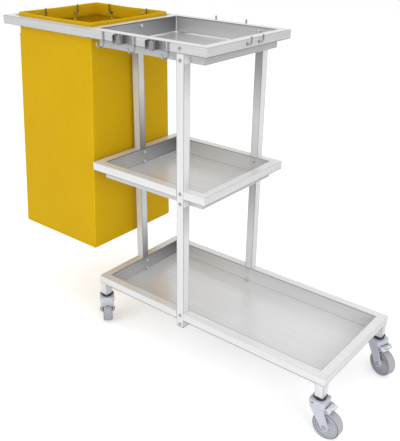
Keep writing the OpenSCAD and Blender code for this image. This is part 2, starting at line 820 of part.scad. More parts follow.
// Moulded fork: head band round the swivel bore, a crown over the wheel, and two cheeks to the axle
module fork(i, braked) {
    color(caster_grey) at_caster(i) difference() {
        union() {
            translate([0, 0, head_z]) linear_extrude(head_h) rounded_square(head_w, head_round);
            rotate([90, 0, 0]) linear_extrude(2 * cheek_out, center = true) fork_outline();
            if (braked) for (s = [-1, 1])
                translate([0, s * (cheek_in + cheek_out) / 2, 0]) rotate([90, 0, 0])
                    linear_extrude(cheek_t, center = true)
                        link_outline([0, head_z], ear_r, [pin_x, pin_z], ear_r);
        }
        translate([trail, 0, wheel_r]) bore_y(wheel_d + 2 * well_gap, 2 * cheek_in);
        translate([0, 0, wheel_r]) cylinder(d = stem_head_d + 2 * cup_gap, h = head_z - wheel_r);
        translate([0, 0, head_z - cut]) cylinder(d = journal_d + 2 * run_gap, h = head_h + 2 * cut);
        translate([trail, 0, wheel_r]) bore_y(axle_d + 2 * run_gap, 3 * cheek_out);
        if (braked) translate([pin_x, 0, pin_z]) bore_y(pin_d + 2 * run_gap, 3 * cheek_out);
        translate([-rivet_hole_x, -head_w / 2, head_z + head_h / 2])
            bore_y(rivet_hole_d, 2 * rivet_hole_deep);
    }
}

// Steel sleeve clamped between the cheeks, on which the wheel runs
module axle_sleeve(i) {
    color(bright) at_caster(i) translate([trail, 0, wheel_r]) difference() {
        bore_y(sleeve_d, 2 * cheek_in);
        bore_y(axle_d + 2 * run_gap, 2 * cheek_in + 2 * cut);
    }
}

// Axle bolt with a low round head outside one cheek
module axle_bolt(i) {
    color(bright) at_caster(i) translate([trail, -cheek_out, wheel_r]) {
        rotate([90, 0, 0])
            cylinder(d1 = axle_head_d, d2 = axle_head_d - 2 * axle_head_taper, h = axle_head_t);
        rotate([-90, 0, 0]) cylinder(d = axle_d, h = 2 * cheek_out + axle_head_t);
    }
}

module axle_nut(i) {
    color(bright) at_caster(i) translate([trail, cheek_out, wheel_r]) rotate([-90, 0, 0]) difference() {
        cylinder(d = axle_head_d, h = axle_head_t, $fn = 6);
        translate([0, 0, -cut]) cylinder(d = axle_d + 2 * run_gap, h = axle_head_t + 2 * cut);
    }
}

// Moulded hub: a boss on the sleeve, a dished web with a raised ring, and a rim for the tyre
module wheel_hub(i) {
    boss_half = cheek_in - boss_gap;
    web_half = wheel_w / 2 - hub_dish;
    rim_half = wheel_w / 2 - rim_back;
    ring_r = (boss_r + hub_r - rim_t) / 2;
    bore_r = sleeve_d / 2 + run_gap;
    color("lightgray") at_caster(i) translate([trail, 0, wheel_r]) rotate([90, 0, 0])
        rotate_extrude($fn = 96) {
            translate([bore_r, -boss_half]) square([boss_r - bore_r, 2 * boss_half]);
            translate([bore_r, -web_half]) square([hub_r - bore_r, 2 * web_half]);
            translate([ring_r - ring_t / 2, -web_half - ring_t])
                square([ring_t, 2 * web_half + 2 * ring_t]);
            translate([hub_r - rim_t, -rim_half]) square([rim_t, 2 * rim_half]);
        }
}

// Rubber tyre with rounded shoulders, bonded to the hub's rim
module tyre(i) {
    flank = wheel_w / 2 - shoulder;
    color("darkgray") at_caster(i) translate([trail, 0, wheel_r]) rotate([90, 0, 0])
        rotate_extrude($fn = 96) {
            translate([hub_r, -wheel_w / 2]) square([tyre_t - shoulder, wheel_w]);
            translate([hub_r, -flank]) square([tyre_t, 2 * flank]);
            for (s = [-1, 1]) translate([wheel_r - shoulder, s * flank]) circle(r = shoulder);
        }
}

// Brake pedal on its pin: hub between the ears, tread to the rear, shoe over the tyre
module brake_pedal(i) {
    hub_w = 2 * (cheek_in - pedal_side_gap);
    color(bright) at_caster(i) translate([pin_x, 0, pin_z]) difference() {
        union() {
            bore_y(2 * pedal_hub_r, hub_w);
            rotate([0, -pedal_tilt, 0]) translate([0, -pedal_w / 2, pedal_hub_r - pedal_t])
                cube([pedal_l, pedal_w, pedal_t]);
            rotate([90, 0, 0]) linear_extrude(pedal_w, center = true) link_outline(
                [0, 0], shoe_r, shoe_reach * [cos(shoe_rest), -sin(shoe_rest)], shoe_r);
        }
        bore_y(pin_d + 2 * run_gap, hub_w + 2 * cut);
    }
}

// Riveted pedal pin through both ears
module brake_pin(i) {
    color(bright) at_caster(i) translate([pin_x, 0, pin_z]) {
        bore_y(pin_d, 2 * cheek_out);
        for (s = [-1, 1]) translate([0, s * (cheek_out + pin_head_t / 2), 0])
            bore_y(pin_d + 2 * pin_lip, pin_head_t);
    }
}

base_tray();
leg(0);  // leg_fl
leg(1);  // leg_fr
leg(2);  // leg_bl
leg(3);  // leg_br
post(0);  // front_post
post(1);  // back_post
post(2);  // left_post
post_caps();
middle_tray();
top_tray();
post_bolts();
dome_nuts();
handle_arm_front();
handle_arm_back();
handle_end_bar();
handle_plugs();
handle_screws();
waste_bag();
bag_eyelets();
bag_hooks();
tool_hooks();
tool_clip(0);  // tool_clip_left
tool_clip(1);  // tool_clip_right
clip_screws();
side_hooks();
back_hooks();
leg_plugs();
caster_stems();
swivel_washers();
fork(0, false);  // fork_fl
axle_sleeve(0);  // axle_sleeve_fl
axle_bolt(0);  // axle_bolt_fl
axle_nut(0);  // axle_nut_fl
wheel_hub(0);  // wheel_hub_fl
tyre(0);  // tyre_fl
fork(1, true);  // fork_fr
axle_sleeve(1);  // axle_sleeve_fr
axle_bolt(1);  // axle_bolt_fr
axle_nut(1);  // axle_nut_fr
wheel_hub(1);  // wheel_hub_fr
tyre(1);  // tyre_fr
fork(2, false);  // fork_bl
axle_sleeve(2);  // axle_sleeve_bl
axle_bolt(2);  // axle_bolt_bl
axle_nut(2);  // axle_nut_bl
wheel_hub(2);  // wheel_hub_bl
tyre(2);  // tyre_bl
fork(3, true);  // fork_br
axle_sleeve(3);  // axle_sleeve_br
axle_bolt(3);  // axle_bolt_br
axle_nut(3);  // axle_nut_br
wheel_hub(3);  // wheel_hub_br
tyre(3);  // tyre_br
brake_pedal(1);  // brake_pedal_fr
brake_pin(1);  // brake_pin_fr
brake_pedal(3);  // brake_pedal_br
brake_pin(3);  // brake_pin_br
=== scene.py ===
import math

import bmesh
import bpy
from mathutils import Matrix, Vector


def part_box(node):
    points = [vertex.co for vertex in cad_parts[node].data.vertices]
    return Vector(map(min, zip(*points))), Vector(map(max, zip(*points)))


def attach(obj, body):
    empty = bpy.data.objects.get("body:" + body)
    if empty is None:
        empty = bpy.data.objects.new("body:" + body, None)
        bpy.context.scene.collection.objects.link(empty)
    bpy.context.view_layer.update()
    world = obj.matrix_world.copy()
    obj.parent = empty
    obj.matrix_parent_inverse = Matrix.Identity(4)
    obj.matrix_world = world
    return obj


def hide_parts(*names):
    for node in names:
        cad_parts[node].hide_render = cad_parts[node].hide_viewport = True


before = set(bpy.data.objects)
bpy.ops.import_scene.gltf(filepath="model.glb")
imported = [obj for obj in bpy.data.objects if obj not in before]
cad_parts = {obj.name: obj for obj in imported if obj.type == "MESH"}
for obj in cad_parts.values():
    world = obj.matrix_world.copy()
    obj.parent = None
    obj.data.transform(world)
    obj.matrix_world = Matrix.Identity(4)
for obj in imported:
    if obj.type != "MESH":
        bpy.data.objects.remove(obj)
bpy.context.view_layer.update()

# Base tray: a long pan cut from one stainless sheet, with its walls folded up and its rims folded out and
# down. Its corners are welded and dressed. It is brushed along its length, and crossways on its end walls.
SHEET = 0.0012
TUBE = 0.025
RIM = TUBE + 2 * SHEET
PAN_DEPTH = 0.050
LIP = 0.025
FOLD_RADIUS = 0.0015
WELD_RADIUS = 0.0035
SHEET_EASE = 0.0005
STEEL_DARK = (0.56, 0.563, 0.57, 1)
STEEL_LIGHT = (0.94, 0.943, 0.95, 1)
STEEL_SHADE = (0.16, 0.16, 0.165, 1)
WELD_TONE = (0.92, 0.92, 0.93, 1)


class Socket:
    """A socket of a finish's node tree. Arithmetic on values adds Math nodes to the same tree."""

    def __init__(self, tree, output=None):
        self.tree = tree
        self.output = output

    def node(self, kind, settings=None, inputs=None, output=0):
        """Adds a node, with its settings first and then the values or links of its sockets."""
        made = self.tree.nodes.new("ShaderNode" + kind)
        for name, value in (settings or {}).items():
            setattr(made, name, value)
        for name, value in (inputs or {}).items():
            if isinstance(value, Socket):
                self.tree.links.new(value.output, made.inputs[name])
            else:
                made.inputs[name].default_value = value
        return Socket(self.tree, made.outputs[output] if made.outputs else None)

    def math(self, operation, *values):
        return self.node("Math", {"operation": operation}, dict(enumerate((self,) + values)))

    def __add__(self, other):
        return self.math("ADD", other)

    def __sub__(self, other):
        return self.math("SUBTRACT", other)

    def __rsub__(self, other):
        return self.math("MULTIPLY", -1.0) + other

    def __mul__(self, other):
        return self.math("MULTIPLY", other)

    def __gt__(self, level):
        return self.math("GREATER_THAN", level)

    def __lt__(self, level):
        return self.math("LESS_THAN", level)

    def __abs__(self):
        return self.math("ABSOLUTE")

    __radd__ = __add__
    __rmul__ = __mul__

    def ramp(self, reach, first, last):
        """Goes evenly from first to last as this value goes from 0 to reach, and stays level past them."""
        span = {"Value": self, "From Max": reach, "To Min": first, "To Max": last}
        return self.node("MapRange", inputs=span)

    def colour(self, low, high):
        """The colour that this mask picks between two. A Mix node's sockets 6 and 7 take colours."""
        return self.node("Mix", {"data_type": "RGBA"}, {"Factor": self, 6: low, 7: high}, 2)

    def noise(self, scale, detail=2.0):
        """Noise from 0 to 1 at this vector."""
        return self.node("TexNoise", inputs={"Vector": self, "Scale": scale, "Detail": detail})

    def axis(self, letter):
        return self.node("SeparateXYZ", inputs={"Vector": self}, output=letter)


def new_finish(name, paint):
    """A material whose principled shader takes the sockets that paint returns for its tree."""
    material = bpy.data.materials.new(name)
    material.use_nodes = True
    material.node_tree.nodes.clear()
    tree = Socket(material.node_tree)
    shader = tree.node("BsdfPrincipled", inputs=paint(tree))
    tree.node("OutputMaterial", inputs={"Surface": shader})
    return material


FINE_GRIT = 900.0
BROAD_GRIT = 240.0
STREAK_RUN = 4
POLISH_CLOUDS = 5.0
FINE_SHARE = 0.4
BROAD_SHARE = 0.5
CLOUD_SHARE = 0.1
GRAIN_ROUGHNESS = 0.10
GRIT_STRENGTH = 0.03
GRIT_DEPTH = 0.0003


def brushed_steel(streaks_of, roughness, shade_of, mirror):
    """Paint for brushed steel: streaks of a fine and a broad grit, faint clouds, and painted shade."""

    def paint(tree):
        place = tree.node("TexCoord", output="Object")
        fine = streaks_of(tree, place, FINE_GRIT)
        broad = streaks_of(tree, place, BROAD_GRIT)
        grain = fine * FINE_SHARE + broad * BROAD_SHARE + place.noise(POLISH_CLOUDS) * CLOUD_SHARE
        relief = {"Strength": GRIT_STRENGTH, "Distance": GRIT_DEPTH, "Height": fine}
        return {
            "Base Color": shade_of(tree, place).colour(grain.colour(STEEL_DARK, STEEL_LIGHT), STEEL_SHADE),
            "Metallic": mirror,
            "Roughness": grain * GRAIN_ROUGHNESS + roughness,
            "Normal": tree.node("Bump", inputs=relief),
        }

    return paint


def streaks(place, along, fineness):
    """Noise drawn out along one axis, and fine across it."""
    scale = [STREAK_RUN if letter == along else fineness for letter in "XYZ"]
    return place.node("VectorMath", {"operation": "MULTIPLY"}, {0: place, 1: scale}).noise(1.0)


FACING = 0.5


def tray_streaks(tree, place, fineness):
    """Streaks along the length of the pan, turned along its end walls."""
    on_end = abs(tree.node("TexCoord", output="Normal").axis("X")) > FACING
    return streaks(place, "X", fineness) * (1 - on_end) + streaks(place, "Y", fineness) * on_end


# Painted shade in a pan: widths and reaches in metres, and how dark each is painted, up to 1. Below 0 is a
# painted highlight.
SHADE_AT_RIM, SHADE_AT_FLOOR = 0.27, 0.02
END_WALL_REACH, END_WALL_SHADE, END_WALL_BRIGHT = 0.24, 0.80, 0.25
SIDE_WALL_REACH, SIDE_WALL_SHADE, SIDE_WALL_HIGHLIGHT = 0.30, 0.18, -0.04
RIM_LINE, RIM_LINE_SHADE = 0.003, 0.4
FLOOR_LINE = 0.0025
LIP_END = 0.0002
LIP_LINE, LIP_LINE_SHADE = 0.0018, 0.75
EDGE_LINE, EDGE_LINE_SHADE = 0.0016, 0.3
UNDER_LIP_SHADOW = 0.2
END_LIP_SHADE = 0.10
BEND_OUT, BEND_HALF, BEND_DROP, BEND_SHADE = 0.0014, 0.0010, 0.002, 0.6


def pan_painted_shade(tray, fold_shade, floor_shade):
    """Painted shade and painted dark reflections of a folded pan: on its walls and floor, at its folds, and
    under and along its lips.
    """
    low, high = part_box(tray)

    def painted_dark(tree, place):
        x, y, z = (place.axis(letter) for letter in "XYZ")
        from_left = x - (low.x + RIM)
        from_back = (high.y - RIM) - y
        from_ends = from_left.math("MINIMUM", (high.x - RIM) - x)
        from_sides = from_back.math("MINIMUM", y - (low.y + RIM))
        from_wall = from_ends.math("MINIMUM", from_sides)
        inside = from_wall > -SHEET / 3
        drop = high.z - z
        facing = tree.node("TexCoord", output="Normal")
        upright = abs(facing.axis("Z")) < FACING
        on_end = abs(facing.axis("X")) > FACING
        # Painted shade on the inside walls: darker towards the rim, near the back corner of the end walls
        # and near the left end of the side walls, with a faint painted highlight beyond.
        wall_shade = drop.ramp(PAN_DEPTH, SHADE_AT_RIM, SHADE_AT_FLOOR)
        end_walls = on_end * from_back.ramp(END_WALL_REACH, END_WALL_SHADE, END_WALL_BRIGHT)
        side_walls = (1 - on_end) * from_left.ramp(SIDE_WALL_REACH, SIDE_WALL_SHADE, SIDE_WALL_HIGHLIGHT)
        # Thin painted dark reflections at the rim's inner edge and at the floor fold.
        rim_line = (drop < RIM_LINE) * RIM_LINE_SHADE
        floor_line = (drop > PAN_DEPTH - SHEET - FLOOR_LINE) * fold_shade
        walls = inside * (wall_shade + end_walls + side_walls + rim_line + floor_line)
        # Painted shadow under the lips, painted dark reflections along the lips' edges, and painted shade
        # on the end lips.
        under_lip = drop > LIP + LIP_END
        lip_line = (drop > LIP - LIP_LINE) * (1 - under_lip) * LIP_LINE_SHADE
        edge_line = (drop < EDGE_LINE) * EDGE_LINE_SHADE
        lips = (1 - inside) * (under_lip * UNDER_LIP_SHADOW + lip_line + edge_line + on_end * END_LIP_SHADE)
        # Painted dark reflection on the rim's top along its inner bend.
        bend = (abs(from_wall + BEND_OUT) < BEND_HALF) * (drop < BEND_DROP) * BEND_SHADE
        # Painted shade on the pan's floor.
        floor = inside * (drop > PAN_DEPTH / 2) * floor_shade
        return upright * (walls + lips) + (1 - upright) * (bend + floor)

    return painted_dark


def dress(material, *names):
    for name in names:
        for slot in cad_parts[name].material_slots:
            slot.material = material


JOIN_REACH = 1e-5
FLAT_ANGLE = 0.5
SHARP_ANGLE = 40


def eased(width, name):
    """Breaks the sharp edges of a node by a small width, as folding, drawing or moulding does."""
    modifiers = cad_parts[name].modifiers
    weld = modifiers.new("joined faces", "WELD")
    weld.merge_threshold = JOIN_REACH
    flat = modifiers.new("whole flats", "DECIMATE")
    flat.decimate_type = "DISSOLVE"
    flat.angle_limit = math.radians(FLAT_ANGLE)
    bevel = modifiers.new("eased edges", "BEVEL")
    bevel.width = width
    bevel.segments = 2
    bevel.limit_method = "ANGLE"
    bevel.angle_limit = math.radians(SHARP_ANGLE)
    modifiers.new("flat shading", "WEIGHTED_NORMAL").keep_sharp = True


def new_piece(name, mesh, material, body="cart", rounded=True):
    """A modelled piece with its finish and the body that it rides on."""
    bmesh.ops.recalc_face_normals(mesh, faces=mesh.faces)
    for face in mesh.faces:
        face.smooth = rounded
    mesh.normal_update()
    data = bpy.data.meshes.new(name)
    mesh.to_mesh(data)
    mesh.free()
    data.materials.append(material)
    piece = bpy.data.objects.new(name, data)
    bpy.context.scene.collection.objects.link(piece)
    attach(piece, body)
    return piece


def skin(mesh, rings, along=False):
    """Faces between closed rings of points, and from the last ring to the first if along."""
    rows = [[mesh.verts.new(point) for point in ring] for ring in rings]
    pairs = list(zip(rows, rows[1:]))
    if along:
        pairs.append((rows[-1], rows[0]))
    for low, high in pairs:
        for i in range(len(low)):
            j = (i + 1) % len(low)
            mesh.faces.new((low[i], low[j], high[j], high[i]))
    return rows


def solid(mesh, rings):
    """A skin through rings, closed over the first and the last one."""
    rows = skin(mesh, rings)
    mesh.faces.new(rows[0])
    mesh.faces.new(rows[-1])


def concave_fillet(radius, steps=5):
    """Corner points, away from two walls that meet at the origin, and a root just inside them."""
    turns = [math.radians(90 * i / steps) for i in range(steps + 1)]
    arc = [(radius * (1 - math.cos(turn)), radius * (1 - math.sin(turn))) for turn in turns]
    root = -SHEET / 3
    return [(root, radius)] + arc + [(radius, root), (root, root)]


def pan_folds(name, tray, fold, material):
    """Inside fold round the pan's floor, and the welded seams up its corners."""
    low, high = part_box(tray)
    left, front = low.x + RIM, low.y + RIM
    right, back = high.x - RIM, high.y - RIM
    floor_z = high.z - PAN_DEPTH + SHEET
    mesh = bmesh.new()
    skin(mesh, [[(left + out, front + out, floor_z + up),
                 (right - out, front + out, floor_z + up),
                 (right - out, back - out, floor_z + up),
                 (left + out, back - out, floor_z + up)] for out, up in concave_fillet(fold)], along=True)
    seam = concave_fillet(WELD_RADIUS)
    for x, along_x in ((left, 1), (right, -1)):
        for y, along_y in ((front, 1), (back, -1)):
            solid(mesh, [[(x + along_x * a, y + along_y * b, z) for a, b in seam]
                         for z in (floor_z, high.z - SHEET)])
    new_piece(name, mesh, material, rounded=False)


WELD_SPECKS = 300.0
WELD_CLOUDS = 80.0
WELD_CHANGE = 0.15
WELD_ROUGHNESS = 0.14


def dressed_weld(tree):
    """Paint for a dressed weld: bright steel with small changes of tone and gloss."""
    place = tree.node("TexCoord", output="Object")
    return {
        "Base Color": place.noise(WELD_SPECKS).colour(STEEL_LIGHT, WELD_TONE),
        "Metallic": 1.0,
        "Roughness": place.noise(WELD_CLOUDS) * WELD_CHANGE + WELD_ROUGHNESS,
    }


TRAY_ROUGHNESS = 0.20
LOW_TRAY_MIRROR = 0.24
weld_steel = new_finish("dressed weld", dressed_weld)


def dress_tray(tray, fold, fold_shade, floor_shade, mirror, fold_steel=None):
    """A brushed finish of its own for one pan, eased edges and its inside folds."""
    steel = new_finish("brushed " + tray.replace("_", " "), brushed_steel(
        tray_streaks, TRAY_ROUGHNESS, pan_painted_shade(tray, fold_shade, floor_shade), mirror))
    dress(steel, tray)
    eased(SHEET_EASE, tray)
    pan_folds(tray.replace("tray", "pan_folds"), tray, fold, fold_steel or steel)


dress_tray("base_tray", FOLD_RADIUS, fold_shade=0.3, floor_shade=0.04, mirror=LOW_TRAY_MIRROR)

# Legs: short lengths of square stainless tube that stand in the base tray's corners and are welded under
# its rim. They are brushed along their length.
LEGS = ("leg_fl", "leg_fr", "leg_bl", "leg_br")
LEG_BEAD = 0.0032
BEAD_SWELL = 0.12
BEAD_ROOT = 0.0005
TUBE_EASE = 0.0007
TUBE_ROUGHNESS = 0.18
MIRROR = 0.45
TUBE_EDGE = 0.0013
TUBE_EDGE_SHADE = 0.6
FLAT_FACING = 0.7


def weld_bead(mesh, start, end, up, width, rise):
    """A low half-round bead with shallow ripples between two points, raised along up."""
    start, end = Vector(start), Vector(end)
    run = end - start
    side = run.cross(up).normalized()
    ripples = max(4, round(run.length / (width / 2)))
    turns = [math.radians(30 * k) for k in range(7)]
    rings = []
    for step in range(ripples + 1):
        swell = 1 + BEAD_SWELL if step % 2 else 1 - BEAD_SWELL
        middle = start + run * (step / ripples)
        arch = [middle + side * (math.cos(turn) * width / 2 * swell) + up * (math.sin(turn) * rise * swell)
                for turn in turns]
        rings.append(arch + [middle - up * BEAD_ROOT])
    solid(mesh, rings)


def tube_painted_shade(tube, along, shaded_places):
    """Painted dark reflections along a tube's rounded edges, and painted shade on faces near the trays.

    Each shaded place is on the face along a letter and a side, and fades out from a level over a reach.
    """
    low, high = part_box(tube)

    def painted_dark(tree, place):
        across = [(place.axis(letter) - low[i]).math("MINIMUM", high[i] - place.axis(letter))
                  for i, letter in enumerate("XYZ") if letter != along]
        # Painted dark reflections along the rounded edges.
        marks = (across[0].math("MAXIMUM", across[1]) < TUBE_EDGE) * TUBE_EDGE_SHADE
        facing = tree.node("TexCoord", output="Normal")
        # Painted shade on faces near the trays.
        for letter, side, level, reach, depth in shaded_places:
            on_face = facing.axis(letter) * side > FLAT_FACING
            past = (place.axis(along) - level) * (1 if reach > 0 else -1)
            marks = marks + on_face * (past > 0.0) * past.ramp(abs(reach), depth, 0.0)
        return marks

    return painted_dark


def dress_tube(tube, along, roughness=TUBE_ROUGHNESS, mirror=MIRROR, shaded_places=()):
    """A finish of its own for one tube, brushed along its length, with its edges eased."""

    def tube_streaks(tree, place, fineness):
        return streaks(place, along, fineness)

    marks = tube_painted_shade(tube, along, shaded_places)
    dress(new_finish("brushed " + tube, brushed_steel(tube_streaks, roughness, marks, mirror)), tube)
    eased(TUBE_EASE, tube)


leg_welds = bmesh.new()
weld_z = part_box("base_tray")[1].z - LIP
for leg in LEGS:
    dress_tube(leg, "Z")
    low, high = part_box(leg)
    face_x, out_x = (low.x, -1) if leg.endswith("l") else (high.x, 1)
    face_y, out_y = (low.y, -1) if leg[-2] == "f" else (high.y, 1)
    weld_bead(leg_welds, (low.x, face_y, weld_z), (high.x, face_y, weld_z), Vector((0, out_y, 0)),
              LEG_BEAD, SHEET)
    weld_bead(leg_welds, (face_x, low.y, weld_z), (face_x, high.y, weld_z), Vector((out_x, 0, 0)),
              LEG_BEAD, SHEET)
new_piece("leg_welds", leg_welds, weld_steel)

# Posts: three square tubes that carry the trays, one at the front, one at the back and one at the left end.
# They pass through notches in the rims, and a dark plastic cap closes the foot of each.
POST_ROUGHNESS = 0.42
POST_MIRROR = 0.20
CAP_DARK = (0.022, 0.022, 0.025, 1)
CAP_LIGHT = (0.055, 0.055, 0.060, 1)
CAP_ROUGHNESS = 0.42
CAP_EASE = 0.0005
PLASTIC_GRAIN = 700.0
PLASTIC_CLOUDS = 30.0
PLASTIC_CHANGE = 0.15
PLASTIC_STRENGTH = 0.12
PLASTIC_DEPTH = 0.0003
SPECK_SHARE = 0.4


def moulded_plastic(low, high, roughness, grain=PLASTIC_GRAIN):
    """Paint for moulded plastic: a fine spark-eroded grain and slow changes of tone."""

    def paint(tree):
        place = tree.node("TexCoord", output="Object")
        specks = place.noise(grain, detail=3.0)
        clouds = place.noise(PLASTIC_CLOUDS)
        relief = {"Strength": PLASTIC_STRENGTH, "Distance": PLASTIC_DEPTH, "Height": specks}
        return {
            "Base Color": (specks * SPECK_SHARE + clouds * (1 - SPECK_SHARE)).colour(low, high),
            "Roughness": clouds * PLASTIC_CHANGE + roughness,
            "Normal": tree.node("Bump", inputs=relief),
        }

    return paint


base_top, middle_top, top_top = (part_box(tray)[1].z for tray in ("base_tray", "middle_tray", "top_tray"))
under_middle = middle_top - PAN_DEPTH
under_top = top_top - PAN_DEPTH
# Painted shade on the posts near the trays: the face's axis and side, the level, the reach up or down, and
# how dark.
POST_SHADE = {
    "front_post": [("X", 1, under_middle, -0.10, 0.45), ("X", 1, under_top, -0.10, 0.35)],
    "back_post": [("Y", -1, under_middle, -0.22, 0.60), ("Y", -1, under_top, -0.22, 0.75)],
    "left_post": [("X", 1, base_top, 0.16, 0.90), ("X", 1, middle_top, 0.20, 0.90),
                  ("Y", -1, under_top, -0.10, 0.80)],
}
for post, shaded in POST_SHADE.items():
    dress_tube(post, "Z", POST_ROUGHNESS, POST_MIRROR, shaded)
cap_plastic = new_finish("dark cap plastic", moulded_plastic(CAP_DARK, CAP_LIGHT, CAP_ROUGHNESS))
dress(cap_plastic, "post_caps")
eased(CAP_EASE, "post_caps")

# Middle and top trays: shorter pans folded like the base tray. The top tray's lips are whole, because the
# posts end under its rim, and its inside folds and corners are polished.
dress_tray("middle_tray", FOLD_RADIUS, fold_shade=0.3, floor_shade=0.02, mirror=LOW_TRAY_MIRROR)
dress_tray("top_tray", WELD_RADIUS, fold_shade=0.0, floor_shade=0.26, mirror=MIRROR, fold_steel=weld_steel)

# Bolts and dome nuts: zinc button heads outside the posts and bright domed hexagon nuts inside the pans,
# two to every post at every tray. The screws of the hand loop and the tool clips are zinc too.
ZINC_DARK = (0.34, 0.34, 0.36, 1)
ZINC_LIGHT = (0.58, 0.58, 0.60, 1)
ZINC_ROUGHNESS = 0.16
NICKEL_DARK = (0.66, 0.66, 0.66, 1)
NICKEL_LIGHT = (0.90, 0.90, 0.89, 1)
NICKEL_ROUGHNESS = 0.2
HANDLING_MARKS = 260.0
HANDLING_CHANGE = 0.12
HANDLING_STRENGTH = 0.04
HANDLING_DEPTH = 0.0002


def bright_metal(low, high, roughness):
    """Paint for plated or polished metal: nearly even, with faint handling marks."""

    def paint(tree):
        marks = tree.node("TexCoord", output="Object").noise(HANDLING_MARKS, detail=4.0)
        relief = {"Strength": HANDLING_STRENGTH, "Distance": HANDLING_DEPTH, "Height": marks}
        return {
            "Base Color": marks.colour(low, high),
            "Metallic": 1.0,
            "Roughness": marks * HANDLING_CHANGE + roughness,
            "Normal": tree.node("Bump", inputs=relief),
        }

    return paint


zinc = new_finish("bright zinc", bright_metal(ZINC_DARK, ZINC_LIGHT, ZINC_ROUGHNESS))
nickel = new_finish("bright nickel", bright_metal(NICKEL_DARK, NICKEL_LIGHT, NICKEL_ROUGHNESS))
dress(zinc, "post_bolts", "handle_screws", "clip_screws")
dress(nickel, "dome_nuts")

# Hand loop: square tube, mitred at its two corners, welded and dressed. Its open ends carry threaded plugs,
# and screws through the top tray's left lip hold it there.
MITRE_BEAD = 0.0035
MITRE_RISE = 0.0005
UP = Vector((0, 0, 1))
for tube, along in (("handle_arm_front", "X"), ("handle_arm_back", "X"), ("handle_end_bar", "Y")):
    dress_tube(tube, along)
dress(zinc, "handle_plugs")
loop_low, loop_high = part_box("handle_end_bar")
mitre_welds = bmesh.new()
for outer_y, inward in ((loop_low.y, 1), (loop_high.y, -1)):
    outer = Vector((loop_low.x, outer_y, loop_high.z))
    inner = outer + Vector((TUBE, inward * TUBE, 0))
    weld_bead(mitre_welds, outer, inner, UP, MITRE_BEAD, MITRE_RISE)
    weld_bead(mitre_welds, outer - UP * TUBE, inner - UP * TUBE, -UP, MITRE_BEAD, MITRE_RISE)
new_piece("loop_mitre_welds", mitre_welds, weld_steel)

# Waste bag: coated yellow fabric sewn into a tall open box. It hangs by its hem, so its walls bow out a
# little, its mouth dips between the hooks and its floor sags. The hem is folded and stitched twice, and
# piping is sewn into the four upright seams and round the floor.
FLARE_END = 0.036
LEAN_TRAY = 0.014
FLARE_SIDE = 0.018
CLOTH = 0.0024
CORNER = 0.007
TIGHT_CORNER = 0.001
BOW = 0.004
BOW_RISE = 0.8
RIPPLE = 0.0006
RIPPLES = 9
MOUTH_DIP = 0.0015
FLOOR_SAG = 0.006
SAG_FULLNESS = 0.7
SIDE_STEPS = 26
CORNER_STEPS = 6
WALL_STEPS = 28
FLOOR_STEPS_OUTSIDE = (0.04, 0.3, 0.6, 0.85)
FLOOR_STEPS_INSIDE = (0.97, 0.6, 0.3, 0.04)
FLOOR_EDGE_TURNS = (20, 45, 70, 90)
HEM = 0.040
HEM_THICK = 0.0046
HEM_PROUD = 0.0004
RIM_ROLL = 0.003
HEM_LEVELS = (0.012, 0.024, HEM - RIM_ROLL)
# The hem's lower edge: an inset and a height above the wall's top, outside and inside.
HEM_EDGE_OUTSIDE = ((0.0, -0.0005), (-0.6 * HEM_PROUD, 0.0002), (-HEM_PROUD, 0.0012))
HEM_EDGE_INSIDE = ((HEM_THICK, 0.001), (HEM_THICK - 0.0008, 0.0), (CLOTH, -0.0008))
HEM_STITCHES = (0.0045, HEM - 0.006)
PIPING = 0.0016
PIPING_SIDES = 8
STITCH = 0.0036
STITCH_PITCH = 0.0052
STITCH_WIDE = 0.0005
EYELET_HOLE = 0.0065
PUNCH_LENGTH = 0.02
SAME_POINT = 1e-6
STEEP = 0.8
THREADS = 2 * math.pi / 0.0009
CLOTH_DARK = (0.560, 0.332, 0.0030, 1)
CLOTH_LIGHT = (0.690, 0.426, 0.0055, 1)
PIPING_DARK = (0.660, 0.410, 0.0050, 1)
PIPING_LIGHT = (0.800, 0.520, 0.0090, 1)
THREAD_TONE = (0.840, 0.580, 0.0400, 1)
CLOTH_CLOUDS = 6.0
CLOTH_SCUFFS = 46.0
CLOTH_CLOUD_SHARE = 0.55
SCUFF_SHARE = 0.3
WEAVE_SHARE = 0.15
SCUFF_CHANGE = 0.2
CLOTH_ROUGHNESS = 0.5
CLOTH_SPECULAR = 0.08
WEAVE_STRENGTH = 0.12
WEAVE_DEPTH = 0.0002

bag_low, bag_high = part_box("waste_bag")
mouth_low = Vector((bag_low.x + FLARE_END, bag_low.y + FLARE_SIDE))
mouth_high = Vector((bag_high.x, bag_high.y - FLARE_SIDE))
foot_low = Vector((bag_low.x, bag_low.y))
foot_high = Vector((bag_high.x - LEAN_TRAY, bag_high.y))
foot_middle = (foot_low + foot_high) / 2
hem_z = bag_high.z - HEM
wall_z = bag_low.z + CORNER


